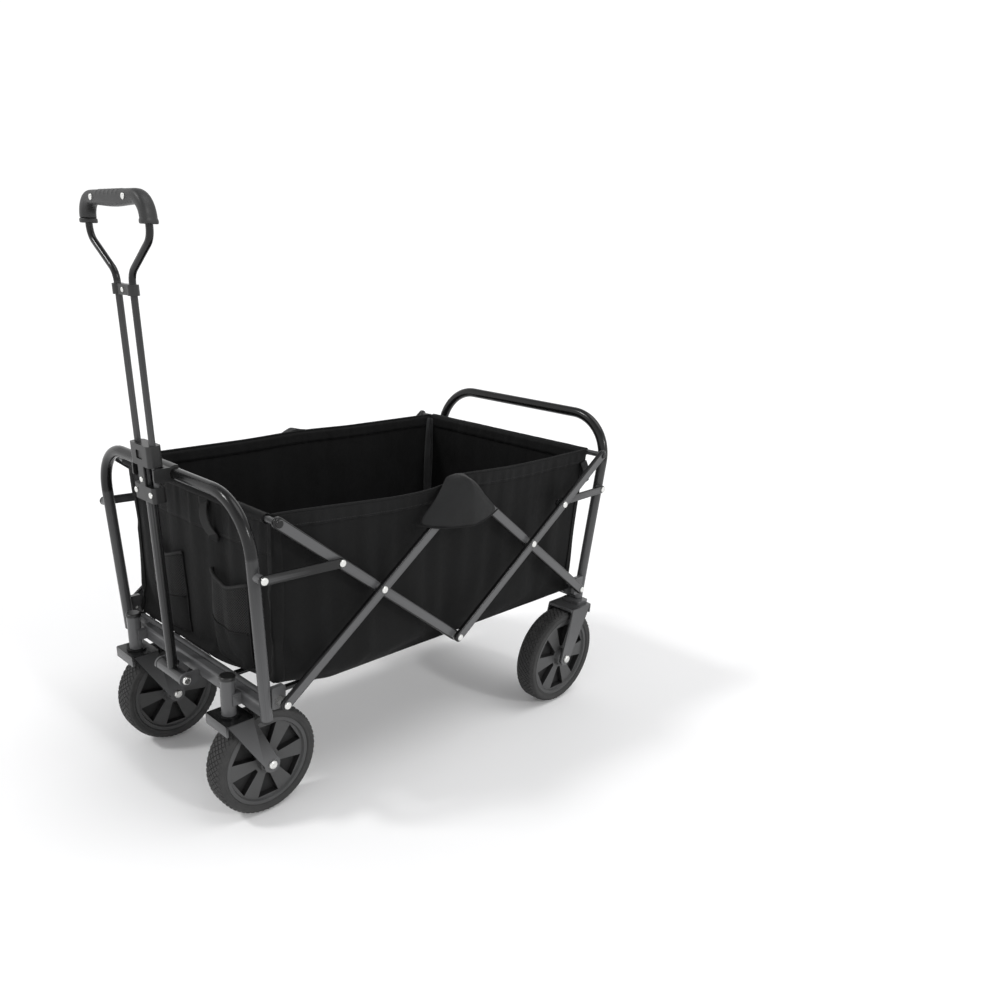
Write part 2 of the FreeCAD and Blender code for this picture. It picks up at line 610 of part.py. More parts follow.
parts["handle_lower_tube"] = lean(lower_tube())
parts["handle_top_bracket"] = lean(top_bracket())
parts["handle_bracket_rivet"] = lean(face_rivet(0.0, U_TAB[0] + 9.0, -BRACKET_Y - 0.05, 4.2, 2.0))
parts["handle_slide_clamp"] = lean(slide_clamp())
parts["handle_bridge_clamp"] = lean(bridge_clamp())
parts["handle_loop"] = lean(loop)
parts["handle_grip"] = lean(grip)
U_RIVET = (U_CLAMP[0] + U_CLAMP[1]) / 2.0 + 1.0
U_PIN = (U_BRIDGE[0] + U_BRIDGE[1]) / 2.0
parts["handle_rivets"] = group([lean(face_rivet(x, U_RIVET, -CLAMP_Y - 0.05, 4.6, 2.2))
                                for x in (-THIN_X, THIN_X)]
                               + [lean(face_rivet(0.0, U_PIN, -BRIDGE_Y - 0.05, 3.5, 1.5))]
                               + [lean(face_rivet(x, U_GRIP, -GRIP_R - 0.05, 4.0, 1.8))
                                  for x in (-47.0, 47.0)])


def handle_clip():
    """Snap-on cradle on the front bar; the handle rests between its fingers."""
    up = math.radians(FRONT_LEAN)
    y = -(FRONT_TOP - FRONT_FOOT) * math.sin(up)
    z = FRONT_FOOT + (FRONT_TOP - FRONT_FOOT) * math.cos(up)
    shape = cyl_x(TUBE_R + 4.0, -34.5, 34.5, y, z)
    shape = shape.fuse(soft_box(-34.5, 34.5, y - 17.0, y - 4.0, z - 10.5, z + 10.5, 3.0, V(1, 0, 0)))
    for side in (1, -1):
        xs = sorted((side * 30.5, side * 34.5))
        shape = shape.fuse(soft_box(xs[0], xs[1], y - 36.0, y - 8.0, z - 10.5, z + 10.5,
                                    5.0, V(1, 0, 0)))
    shape = shape.cut(cyl_x(TUBE_R + 0.05, -40, 40, y, z))
    return shape.cut(box(-40, 40, y + 5.0, y + 20.0, z - 20, z + 20)).removeSplitter()


parts["handle_clip"] = handle_clip()


# ------------------------------------------------------------------------- bag
BAG_Y0, BAG_Y1 = 24.5, REAR_Y - 24.5
parts["bag_front_panel"] = box(-BAG_X, BAG_X, BAG_Y0, BAG_Y0 + CLOTH, BAG_FLOOR_Z, BAG_TOP_Z + 7.0)
parts["bag_rear_panel"] = box(-BAG_X, BAG_X, BAG_Y1 - CLOTH, BAG_Y1, BAG_FLOOR_Z, BAG_TOP_Z + 7.0)
side_y = (BAG_Y0 + CLOTH + 0.3, BAG_Y1 - CLOTH - 0.3)
side = box(BAG_X - CLOTH, BAG_X, side_y[0], side_y[1], BAG_FLOOR_Z, BAG_TOP_Z)
parts["bag_side_right"] = side
parts["bag_side_left"] = mirrored(side)
parts["bag_floor"] = box(-BAG_X + CLOTH + 0.3, BAG_X - CLOTH - 0.3, side_y[0], side_y[1],
                         BAG_FLOOR_Z, BAG_FLOOR_Z + CLOTH)


def pocket():
    x0, x1 = POCKET_X - POCKET_HALF, POCKET_X + POCKET_HALF
    outer = box(x0, x1, 12.0, BAG_Y0 - 0.2, 255.0, 402.0)
    return outer.cut(box(x0 + 1.5, x1 - 1.5, 13.5, BAG_Y0 + 1, 256.5, 403.0))


parts["bag_pockets"] = group(both(pocket))


def flap():
    """Cover over the upper scissor joint: a roof from the rim and a pointed skirt."""
    y, x0, x1 = P_TOP_MID[0], BAG_X + 0.3, 259.0
    roof = box(x0, x1 + 1.5, y - 34.0, y + 34.0, 533.5, 535.0)
    pts = [V(x1, y - 34.0, 535.0), V(x1, y + 34.0, 535.0), V(x1, y + 80.0, 468.0),
           V(x1, y + 22.0, 452.0), V(x1, y - 106.0, 472.0)]
    skirt = Part.Face(Part.makePolygon(pts + pts[:1])).extrude(V(1.5, 0, 0))
    return roof.fuse(skirt).removeSplitter()


parts["bag_flaps"] = group(both(flap))


# ---------------------------------------------------------------------- export
def bounds():
    box_all = FreeCAD.BoundBox()
    for shape in parts.values():
        box_all.add(shape.optimalBoundingBox(False, False))
    return box_all


# The origin goes to the bottom centre of the whole wagon.
if __name__ == "__main__":
    bb = bounds()
    SHIFT = V(-(bb.XMin + bb.XMax) / 2.0, -(bb.YMin + bb.YMax) / 2.0, -bb.ZMin)
    os.makedirs("parts", exist_ok=True)
    for name, shape in parts.items():
        moved = shape.copy()
        moved.translate(SHIFT)
        moved.exportStep("parts/%s.step" % name)
    print("nodes", len(parts))
    print("shift", round(SHIFT.x, 4), round(SHIFT.y, 4), round(SHIFT.z, 4))
    print("size", round(bb.XLength, 2), round(bb.YLength, 2), round(bb.ZLength, 2))
    for name, shape in parts.items():
        flag = "" if shape.isValid() else "  INVALID"
        if flag or len(shape.Solids) == 0:
            print(name, len(shape.Solids), flag)
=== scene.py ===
import json
import math

import bpy
from mathutils import Matrix, Vector, noise


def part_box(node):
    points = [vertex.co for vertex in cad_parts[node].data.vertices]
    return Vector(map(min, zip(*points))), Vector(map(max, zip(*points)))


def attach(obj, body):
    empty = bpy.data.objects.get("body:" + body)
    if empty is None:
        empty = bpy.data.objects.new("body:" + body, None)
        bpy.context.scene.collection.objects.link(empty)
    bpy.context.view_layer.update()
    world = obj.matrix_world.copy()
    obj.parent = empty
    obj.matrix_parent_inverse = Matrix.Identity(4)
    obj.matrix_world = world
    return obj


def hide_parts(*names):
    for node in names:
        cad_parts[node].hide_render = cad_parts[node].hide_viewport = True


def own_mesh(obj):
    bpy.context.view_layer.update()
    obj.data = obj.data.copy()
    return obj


# The looks of a folding camp wagon: cloth bag, tyres, grip and finishes around
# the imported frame. Metres; +X across the wagon, +Y from the handle to the rear.

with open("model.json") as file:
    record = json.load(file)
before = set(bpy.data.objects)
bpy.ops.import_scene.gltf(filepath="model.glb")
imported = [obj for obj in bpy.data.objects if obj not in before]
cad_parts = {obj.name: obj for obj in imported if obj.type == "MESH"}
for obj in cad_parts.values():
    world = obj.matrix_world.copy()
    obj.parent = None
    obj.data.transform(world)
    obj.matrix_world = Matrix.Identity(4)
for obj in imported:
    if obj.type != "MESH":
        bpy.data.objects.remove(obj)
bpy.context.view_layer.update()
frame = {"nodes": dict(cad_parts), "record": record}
NODES = frame["nodes"]

MM = 0.001


def middle(node):
    lo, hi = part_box(node)
    return (lo + hi) / 2


# ------------------------------------------------- places taken from the frame
FRONT_ROD = middle("front_rim_rod")
REAR_ROD = middle("rear_rim_rod")
ROD_R = 5 * MM
PANEL_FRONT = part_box("bag_front_panel")[0].y
PANEL_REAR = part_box("bag_rear_panel")[1].y
BAG_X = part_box("bag_side_right")[1].x
BAG_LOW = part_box("bag_floor")[0].z
RIM_Z = FRONT_ROD.z + 5 * MM
MID_Y = (PANEL_FRONT + PANEL_REAR) / 2
POCKET_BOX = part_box("bag_pockets")
POCKET_IN, POCKET_OUT = 40 * MM, POCKET_BOX[1].x - 1 * MM
POCKET_LOW, POCKET_TOP = POCKET_BOX[0].z, POCKET_BOX[1].z
CLOTH = 1.2 * MM


# ------------------------------------------------------------------- materials
class Nodes:
    """A principled material and short calls to wire its node tree."""

    def __init__(self, name):
        self.material = bpy.data.materials.new(name)
        self.material.use_nodes = True
        self.tree = self.material.node_tree
        self.shader = self.tree.nodes["Principled BSDF"]
        self.height = None

    def add(self, kind, **values):
        node = self.tree.nodes.new(kind)
        for key, value in values.items():
            if key in node.inputs:
                node.inputs[key].default_value = value
            else:
                setattr(node, key, value)
        return node

    def link(self, source, target):
        self.tree.links.new(source, target)

    def coords(self, kind="Object", scale=(1, 1, 1)):
        source = self.add("ShaderNodeTexCoord")
        mapping = self.add("ShaderNodeMapping")
        mapping.inputs["Scale"].default_value = scale
        self.link(source.outputs[kind], mapping.inputs["Vector"])
        return mapping.outputs["Vector"]

    def noise(self, scale, detail=3.0, coords=None, distortion=0.0):
        node = self.add("ShaderNodeTexNoise", Scale=scale, Detail=detail, Distortion=distortion)
        self.link(coords or self.coords(), node.inputs["Vector"])
        return node.outputs["Fac"]

    def wave(self, scale, direction, coords, profile="SIN", distortion=0.0):
        node = self.add("ShaderNodeTexWave", Scale=scale, Distortion=distortion,
                        bands_direction=direction, wave_profile=profile)
        self.link(coords, node.inputs["Vector"])
        return node.outputs["Fac"]

    def maths(self, operation, a, b=None):
        node = self.add("ShaderNodeMath", operation=operation)
        for slot, value in zip(node.inputs, (a, b)):
            if value is None:
                continue
            if isinstance(value, (int, float)):
                slot.default_value = value
            else:
                self.link(value, slot)
        return node.outputs["Value"]

    def ramp(self, factor, low, high, at=(0.3, 0.7)):
        node = self.add("ShaderNodeValToRGB")
        ends = node.color_ramp.elements
        ends[0].position, ends[1].position = at
        ends[0].color, ends[1].color = (*low, 1), (*high, 1)
        self.link(factor, node.inputs["Fac"])
        return node.outputs["Color"]

    def bump(self, height, strength, distance):
        node = self.add("ShaderNodeBump", Strength=strength, Distance=distance)
        self.link(height, node.inputs["Height"])
        if self.height is not None:
            self.link(self.height, node.inputs["Normal"])
        self.height = node.outputs["Normal"]
        self.link(self.height, self.shader.inputs["Normal"])

    def colour(self, socket):
        self.link(socket, self.shader.inputs["Base Color"])

    def roughness(self, factor, low, high):
        node = self.add("ShaderNodeMapRange")
        node.inputs["To Min"].default_value, node.inputs["To Max"].default_value = low, high
        self.link(factor, node.inputs["Value"])
        self.link(node.outputs["Result"], self.shader.inputs["Roughness"])

    def set(self, **values):
        for key, value in values.items():
            self.shader.inputs[key.replace("_", " ")].default_value = value


def grey(v, tint=0.0):
    return (v, v * (1 + tint * 0.5), v * (1 + tint))


def woven_cloth(name, level, rough=0.72):
    """Coated 600-denier polyester: plain weave, faint wrinkles, soft sheen."""
    n = Nodes(name)
    thread = n.coords("UV", (1, 1, 1))
    warp = n.wave(340.0, "X", thread)
    weft = n.wave(340.0, "Y", thread)
    weave = n.maths("MAXIMUM", warp, weft)
    mottle = n.noise(14.0, 4.0)
    grain = n.noise(900.0, 2.0)
    mixed = n.maths("ADD", n.maths("MULTIPLY", mottle, 0.7), n.maths("MULTIPLY", grain, 0.3))
    n.colour(n.ramp(mixed, grey(level * 0.75), grey(level * 1.3, 0.05), (0.35, 0.68)))
    n.roughness(mottle, rough - 0.1, rough + 0.1)
    n.bump(n.noise(26.0, 3.0, distortion=0.6), 0.22, 6 * MM)
    n.bump(n.noise(95.0, 2.0), 0.12, 1.2 * MM)
    n.bump(weave, 0.35, 0.25 * MM)
    n.set(Sheen_Weight=0.015, Sheen_Roughness=0.5, Specular_IOR_Level=0.13)
    return n.material


def ribbed_webbing(name, level):
    n = Nodes(name)
    uv = n.coords("UV")
    ribs = n.wave(300.0, "Y", uv, "SIN", 0.3)
    sides = n.wave(120.0, "X", uv)
    n.colour(n.ramp(ribs, grey(level * 0.6), grey(level * 1.35)))
    n.bump(ribs, 0.7, 0.5 * MM)
    n.bump(sides, 0.2, 0.3 * MM)
    n.set(Roughness=0.8, Specular_IOR_Level=0.2)
    return n.material


def coated_steel():
    """Satin powder coat with fine orange peel; convex edges carry a painted highlight in paler grey."""
    n = Nodes("powder_coat")
    patches = n.noise(24.0, 3.0)
    # Painted highlight: convex edges, found by pointiness, are mixed toward a pale grey.
    edge = n.add("ShaderNodeNewGeometry").outputs["Pointiness"]
    painted_edge_highlight = n.ramp(edge, (0, 0, 0), (1, 1, 1), (0.52, 0.60))
    mix = n.add("ShaderNodeMix", data_type="RGBA")
    n.link(n.maths("MULTIPLY", painted_edge_highlight, 0.5), mix.inputs["Factor"])
    n.link(n.ramp(patches, grey(0.005), grey(0.008, 0.06)), mix.inputs["A"])
    mix.inputs["B"].default_value = (0.17, 0.171, 0.175, 1)
    n.colour(mix.outputs["Result"])
    n.roughness(n.noise(60.0, 4.0), 0.17, 0.27)
    n.bump(n.noise(1100.0, 2.0), 0.10, 0.12 * MM)
    n.set(Specular_IOR_Level=0.34)
    return n.material


def zinc():
    n = Nodes("zinc_rivet")
    scratches = n.noise(700.0, 4.0, distortion=2.0)
    n.colour(n.ramp(scratches, (0.62, 0.62, 0.60), (0.86, 0.86, 0.84)))
    n.roughness(scratches, 0.2, 0.38)
    n.bump(scratches, 0.08, 0.05 * MM)
    n.set(Metallic=1.0)
    return n.material


def moulded(name, level, rough, grain=520.0, depth=0.12):
    n = Nodes(name)
    flow = n.noise(9.0, 3.0)
    n.colour(n.ramp(flow, grey(level * 0.85), grey(level * 1.15, 0.03)))
    n.roughness(n.noise(40.0, 4.0), rough - 0.07, rough + 0.07)
    n.bump(n.noise(grain, 3.0), depth, 0.2 * MM)
    n.set(Specular_IOR_Level=0.5)
    return n.material


def rubber():
    n = Nodes("tyre_rubber")
    dust = n.noise(55.0, 5.0)
    n.colour(n.ramp(dust, grey(0.026), grey(0.040, -0.02), (0.3, 0.75)))
    n.roughness(dust, 0.62, 0.82)
    n.bump(n.noise(850.0, 3.0), 0.25, 0.2 * MM)
    n.set(Specular_IOR_Level=0.35)
    return n.material


BLACK_CLOTH = woven_cloth("polyester_600d", 0.0055)
BAND_CLOTH = woven_cloth("polyester_hem", 0.0062, 0.68)
FLAP_CLOTH = woven_cloth("polyester_flap", 0.013, 0.6)
LINING_CLOTH = woven_cloth("polyester_binding", 0.045, 0.7)
WEBBING = ribbed_webbing("webbing_black", 0.036)
NET = ribbed_webbing("net_strand", 0.05)
THREAD = moulded("sewing_thread", 0.035, 0.7, 2000.0, 0.3)
STEEL = coated_steel()
ZINC = zinc()
PLASTIC = moulded("black_nylon", 0.010, 0.36)
GRIP = moulded("grip_rubber", 0.017, 0.46, 900.0, 0.3)
HUB = moulded("wheel_nylon", 0.05, 0.5, 700.0, 0.25)
# Painted shade: the floors of the wheels' pockets get a near-black nylon colour.
HUB_POCKET_SHADE = moulded("wheel_nylon_painted_pocket_shade", 0.006, 0.7, 700.0, 0.25)
RUBBER = rubber()

SLOT_MATERIAL = {
    "coated_steel": STEEL, "bright_rivet": ZINC, "black_plastic": PLASTIC,
    "grip_plastic": GRIP, "wheel_plastic": HUB, "tyre_rubber": RUBBER,
    "bag_fabric": BLACK_CLOTH, "pocket_mesh": NET,
}
for part in frame["record"]["subparts"]:
    data = NODES[part["node"]].data
    data.materials.clear()
    data.materials.append(SLOT_MATERIAL[part["material_slot"]])


def refinish(node, material, chosen):
    """A second finish for the faces of a node whose middle is chosen."""
    data, place = NODES[node].data, NODES[node].matrix_world
    data.materials.append(material)
    for polygon in data.polygons:
        if chosen(place @ polygon.center):
            polygon.material_index = len(data.materials) - 1


def off_axle(point, axle):
    return math.hypot(point.y - axle.y, point.z - axle.z)


# Each wheel's pocket floors take the painted shade colour.
for corner in ("front_right", "front_left", "rear_right", "rear_left"):
    axle = middle("wheel_" + corner)
    refinish("wheel_" + corner, HUB_POCKET_SHADE, lambda p: abs(p.x - axle.x) < 14.5 * MM
             and 21 * MM < off_axle(p, axle) < 72 * MM)
for side in ("right", "left"):
    axle = middle("wheel_front_" + side)
    refinish("caster_fork_" + side, ZINC, lambda p: abs(p.x - axle.x) > 31.2 * MM
             and off_axle(p, axle) < 9 * MM)
    refinish("link_front_" + side, ZINC, lambda p: abs(p.x) > 249.7 * MM)
refinish("front_pins", STEEL, lambda p: p.z > 400 * MM and abs(p.x) < 249.6 * MM)
refinish("rear_pins", STEEL, lambda p: p.z > 400 * MM and abs(p.x) < 240.6 * MM)


# --------------------------------------------------------------- mesh building
def new_mesh(name, points, faces, material, uvs=None, smooth=True):
    data = bpy.data.meshes.new(name)
    data.from_pydata([tuple(p) for p in points], [], faces)
    data.materials.append(material)
    if uvs is not None:
        layer = data.uv_layers.new(name="UVMap")
        for loop in data.loops:
            layer.data[loop.index].uv = uvs[loop.vertex_index]
    for polygon in data.polygons:
        polygon.use_smooth = smooth
    data.validate()
    obj = bpy.data.objects.new(name, data)
    bpy.context.scene.collection.objects.link(obj)
    return obj


def grid(name, rows, material, uv_step=None, closed=False, smooth=True):
    """Sheet from rows of points. UVs run in metres along the first row and column."""
    height, width = len(rows), len(rows[0])
    points = [p for row in rows for p in row]
    faces = []
    across = width if closed else width - 1
    for j in range(height - 1):
        for i in range(across):
            k = (i + 1) % width
            faces.append((j * width + i, j * width + k, (j + 1) * width + k, (j + 1) * width + i))
    if uv_step is None:
        uv_step = ((Vector(rows[0][1]) - Vector(rows[0][0])).length,
                   (Vector(rows[1][0]) - Vector(rows[0][0])).length)
    uvs = [(i * uv_step[0], j * uv_step[1]) for j in range(height) for i in range(width)]
    return new_mesh(name, points, faces, material, uvs, smooth)


def thicken(obj, thickness, offset=-1.0, levels=1):
    if levels:
        soft = obj.modifiers.new("soften", "SUBSURF")
        soft.levels = soft.render_levels = levels
    shell = obj.modifiers.new("cloth", "SOLIDIFY")
    shell.thickness, shell.offset = thickness, offset
    shell.use_even_offset = False
    return obj


def tube_mesh(name, path, radius, material, sides=10, closed=False, squash_y=1.0):
    """Tube along a list of points, with caps."""
    points, faces = [], []
    count = len(path)
    normal = None
    for k, p in enumerate(path):
        before = path[(k - 1) % count] if closed or k else p
        after = path[(k + 1) % count] if closed or k < count - 1 else p
        tangent = (after - before).normalized()
        if normal is None:
            normal = tangent.orthogonal().normalized()
        normal = (normal - tangent * normal.dot(tangent)).normalized()
        binormal = tangent.cross(normal)
        r = radius(k) if callable(radius) else radius
        for s in range(sides):
            a = 2 * math.pi * s / sides
            points.append(p + (normal * math.cos(a) + binormal * math.sin(a) * squash_y) * r)
    turns = count if closed else count - 1
    for k in range(turns):
        m = (k + 1) % count
        for s in range(sides):
            t = (s + 1) % sides
            faces.append((k * sides + s, k * sides + t, m * sides + t, m * sides + s))
    if not closed:
        faces.append(tuple(reversed(range(sides))))
        faces.append(tuple((count - 1) * sides + s for s in range(sides)))
    uvs = [(s * 0.003, k * 0.004) for k in range(count) for s in range(sides)]
    return new_mesh(name, points, faces, material, uvs)


def smoothstep(x, a=0.0, b=1.0):
    t = min(1.0, max(0.0, (x - a) / (b - a)))
    return t * t * (3 - 2 * t)


def lerp(a, b, t):
    return a + (b - a) * t


def stitches(name, path, normals, material=THREAD, length=3.4 * MM, gap=1.6 * MM, width=0.45 * MM):
    """A row of thread stitches lying on a path of points with surface normals."""
    total, marks = 0.0, [0.0]
    for a, b in zip(path, path[1:]):
        total += (b - a).length
        marks.append(total)

    def at(distance):
        k = 0
        while k < len(marks) - 2 and marks[k + 1] < distance:
            k += 1
        t = (distance - marks[k]) / max(1e-9, marks[k + 1] - marks[k])
        return path[k].lerp(path[k + 1], t), normals[k].lerp(normals[k + 1], t).normalized()

    points, faces = [], []
    start = gap
    while start + length < total:
        a, na = at(start)
        b, nb = at(start + length)
        side = (b - a).cross(na).normalized() * width
        mid, up = (a + b) / 2, (na + nb).normalized() * width * 1.3
        n = len(points)
        points += [a - up * 0.3, mid + side, b - up * 0.3, mid - side, mid + up]
        faces += [(n, n + 1, n + 4), (n + 1, n + 2, n + 4), (n + 2, n + 3, n + 4), (n + 3, n, n + 4),
                  (n, n + 3, n + 2, n + 1)]
        start += length + gap
    return new_mesh(name, points, faces, material)


# ---------------------------------------------------------- the cloth bag shell
# The walls are one closed strip of cloth, first shaped with its slack,
# then let go in a cloth simulation between the rim and the floor seam.
ACROSS, ALONG, DOWN = 48, 80, 30
RING = 2 * (ACROSS + ALONG)
CORNERS = (0, ACROSS, ACROSS + ALONG, 2 * ACROSS + ALONG)
BAG_LENGTH = PANEL_REAR - PANEL_FRONT
WIDTH = 2 * BAG_X


def plan(i):
    """Point of the bag's outline in plan, and the outward direction there."""
    i %= RING
    if i <= ACROSS:
        return (-BAG_X + WIDTH * i / ACROSS, PANEL_FRONT), (0, -1)
    if i <= ACROSS + ALONG:
        return (BAG_X, PANEL_FRONT + BAG_LENGTH * (i - ACROSS) / ALONG), (1, 0)
    if i <= 2 * ACROSS + ALONG:
        return (BAG_X - WIDTH * (i - ACROSS - ALONG) / ACROSS, PANEL_REAR), (0, 1)
    return (-BAG_X, PANEL_REAR - BAG_LENGTH * (i - 2 * ACROSS - ALONG) / ALONG), (-1, 0)


def rim_height(x, y):
    """Rim of the walls: up at the rods and mid joints; the near side dips in front."""
    t = abs(y - MID_Y) / (BAG_LENGTH / 2)
    if abs(x) < BAG_X * 0.98:
        return RIM_Z
    if x < 0:
        return RIM_Z + 3 * MM * (1 - smoothstep(t, 0.0, 0.4))
    ahead = max(0.0, MID_Y - y) / (BAG_LENGTH / 2)
    dip = 15 * MM * math.sin(math.pi * ahead ** 0.45) ** 1.2 if ahead > 0 else 0.0
    slack = 3 * MM * math.sin(math.pi * min(1.0, t)) ** 1.5 if y > MID_Y else 0.0
    return RIM_Z + 2 * MM * (1 - smoothstep(t, 0.0, 0.4)) - dip - slack


def seam_height(x, y):
    """Floor seam: pulled up at the near front corner, where the cloth is short."""
    near = smoothstep(x, 30 * MM, 200 * MM) * (1 - smoothstep(y, PANEL_FRONT, PANEL_FRONT + 0.11))
    return BAG_LOW + 22 * MM * near


def corner_pull(i, v):
    """How far the corner seams draw in, strongest above the middle of the wall."""
    pull = 0.0
    for corner, depth, reach in zip(CORNERS, (11, 10, 9, 10), (10, 10, 10, 10)):
        gap = min(abs(i - corner), RING - abs(i - corner))
        pull += depth * MM * (1 - smoothstep(gap / reach))
    band = math.sin(math.pi * min(1.0, max(0.0, v))) ** 1.3
    return pull * band


def wall_start(i, v):
    """Wall point before simulation; v is 0 at the floor seam, 1 at the rim."""
    (x, y), (nx, ny) = plan(i)
    z = lerp(seam_height(x, y), rim_height(x, y), v)
    pull = corner_pull(i, v)
    toward = Vector((-x, (MID_Y - y) * 0.55, 0)).normalized()
    belly = 5 * MM * math.sin(math.pi * v) ** 1.2
    fold = 7 * MM * noise.noise(Vector((x * 7.0 + 3.1, y * 7.0, z * 6.0))) * math.sin(math.pi * v)
    out = belly + fold
    if abs(y - PANEL_FRONT) < 1e-6 and v < 0.6:
        out += 3 * MM
    return Vector((x + nx * out, y + ny * out, z)) + toward * pull


def simulate_walls():
    rows = [[wall_start(i, j / DOWN) for i in range(RING)] for j in range(DOWN + 1)]
    cloth_object = grid("wall_cloth", rows, BLACK_CLOTH, closed=True)
    held = cloth_object.vertex_groups.new(name="held")
    held.add(list(range(RING)), 1.0, "REPLACE")
    held.add([DOWN * RING + i for i in range(RING)], 1.0, "REPLACE")
    cloth = cloth_object.modifiers.new("cloth", "CLOTH")
    s = cloth.settings
    s.quality, s.mass, s.air_damping = 7, 0.35, 3.0
    s.tension_stiffness = s.compression_stiffness = 28.0
    s.shear_stiffness, s.bending_stiffness = 9.0, 1.6
    s.tension_damping = s.compression_damping = s.shear_damping = 12.0
    s.vertex_group_mass = "held"
    s.shrink_min = -0.010
    cloth.collision_settings.use_self_collision = False
    scene = bpy.context.scene
    frames = 26
    scene.frame_start, scene.frame_end = 1, frames
    cloth.point_cache.frame_start, cloth.point_cache.frame_end = 1, frames
    for f in range(1, frames + 1):
        scene.frame_set(f)
    evaluated = cloth_object.evaluated_get(bpy.context.evaluated_depsgraph_get())
    moved = [v.co.copy() for v in evaluated.data.vertices]
    scene.frame_set(1)
    bpy.data.objects.remove(cloth_object)
    cap = 13 * MM
    for j in range(DOWN + 1):
        for i in range(RING):
            shift = moved[j * RING + i] - rows[j][i]
            if shift.length > cap:
                shift *= cap / shift.length
            rows[j][i] = rows[j][i] + shift
    return rows


WALLS = simulate_walls()


def wall_at(i, v):
    """Point of the finished wall at a fractional place along the ring."""
    i %= RING
    i0, t = int(i), i - int(i)
    row = min(DOWN - 1e-6, max(0.0, v * DOWN))
    j0, s = int(row), row - int(row)
    i1 = (i0 + 1) % RING
    a = WALLS[j0][i0].lerp(WALLS[j0][i1], t)
    b = WALLS[j0 + 1][i0].lerp(WALLS[j0 + 1][i1], t)
    return a.lerp(b, s)


def wall_normal(i, v):
    e = 0.5
    along = wall_at(i + e, v) - wall_at(i - e, v)
    up = wall_at(i, min(1.0, v + 0.02)) - wall_at(i, max(0.0, v - 0.02))
    return along.cross(up).normalized()


def wall_patch(name, i_range, v_range, columns, rows, lift, material):
    """A second layer of cloth on the wall, raised by lift along the normal."""
    points = []
    for b in range(rows + 1):
        v = lerp(*v_range, b / rows)
        line = []
        for a in range(columns + 1):
            i = lerp(*i_range, a / columns)
            line.append(wall_at(i, v) + wall_normal(i, v) * lift)
        points.append(line)
    return grid(name, points, material)


def on_bag(obj, folds=True):
    """Rides with the bag; what lies along the wagon gets a mesh of its own."""
    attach(obj, "bag")
    if folds:
        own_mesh(obj)
    return obj


def wall_panel(name, i0, i1, node, folds):
    rows = [[WALLS[j][i % RING] for i in range(i0, i1 + 1)] for j in range(DOWN + 1)]
    panel = thicken(grid(name, rows, BLACK_CLOTH), CLOTH, -1.0, 1)
    on_bag(panel, folds)
    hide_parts(node)
    return panel


WALL_H = RIM_Z - BAG_LOW
panel_front = wall_panel("cloth_front", 0, ACROSS, "bag_front_panel", False)
panel_right = wall_panel("cloth_side_right", ACROSS, ACROSS + ALONG, "bag_side_right", True)
panel_rear = wall_panel("cloth_rear", ACROSS + ALONG, 2 * ACROSS + ALONG, "bag_rear_panel", True)
panel_left = wall_panel("cloth_side_left", 2 * ACROSS + ALONG, RING, "bag_side_left", True)


def floor_cloth():
    """Floor cloth: lies on the rods and dips softly between them."""
    rows = []
    for b in range(ALONG + 1):
        line = []
        for a in range(ACROSS + 1):
            x = -BAG_X + WIDTH * a / ACROSS
            y = PANEL_FRONT + BAG_LENGTH * b / ALONG
            z = seam_height(x, y)
            edge = min(a, ACROSS - a, b, ALONG - b) / 4.0
            soft = smoothstep(edge)
            z += soft * (1.2 * MM + 2.0 * MM * noise.noise(Vector((x * 12, y * 12, 0.4))))
            if b in (0, ALONG) or a in (0, ACROSS):
                z = seam_height(x, y)
            line.append(Vector((x, y, z)))
        rows.append(line)
    return grid("cloth_floor", rows, BLACK_CLOTH)


floor = thicken(floor_cloth(), CLOTH, 1.0, 1)
on_bag(floor)
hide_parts("bag_floor")

# Hem and bands: folded double cloth with a row of stitches along its lower edge.
HEM_V = 1 - 24 * MM / WALL_H
BAND_V = 1 - 68 * MM / WALL_H


def seam_row(name, i_range, v, lift, steps, folds):
    places = [lerp(*i_range, k / steps) for k in range(steps + 1)]
    path = [wall_at(i, v) + wall_normal(i, v) * lift for i in places]
    normals = [wall_normal(i, v) for i in places]
    return on_bag(stitches(name, path, normals), folds)


sheet_parts = {"front": [], "right": [], "rear": [], "left": []}
WALL_SPANS = {"front": (0, ACROSS), "right": (ACROSS, ACROSS + ALONG),
              "rear": (ACROSS + ALONG, 2 * ACROSS + ALONG), "left": (2 * ACROSS + ALONG, RING)}
for side, (i0, i1) in WALL_SPANS.items():
    folds = side != "front"
    low = BAND_V if side in ("front", "rear") else HEM_V
    steps = 2 * (i1 - i0)
    band = wall_patch("hem_" + side, (i0, i1), (low, 0.995), steps, 8, 0.5 * MM, BAND_CLOTH)
    thicken(band, 1.1 * MM, 1.0, 0)
    on_bag(band, folds)
    inner = wall_patch("hem_inside_" + side, (i0 + 0.3, i1 - 0.3), (HEM_V, 0.995), steps, 4, -2.6 * MM,
                       BAND_CLOTH)
    thicken(inner, 0.9 * MM, 1.0, 0)
    on_bag(inner, folds)
    seam = seam_row("stitch_hem_" + side, (i0 + 0.4, i1 - 0.4), low + 4 * MM / WALL_H, 1.7 * MM,
                    4 * (i1 - i0), folds)
    sheet_parts[side] += [band, inner, seam]

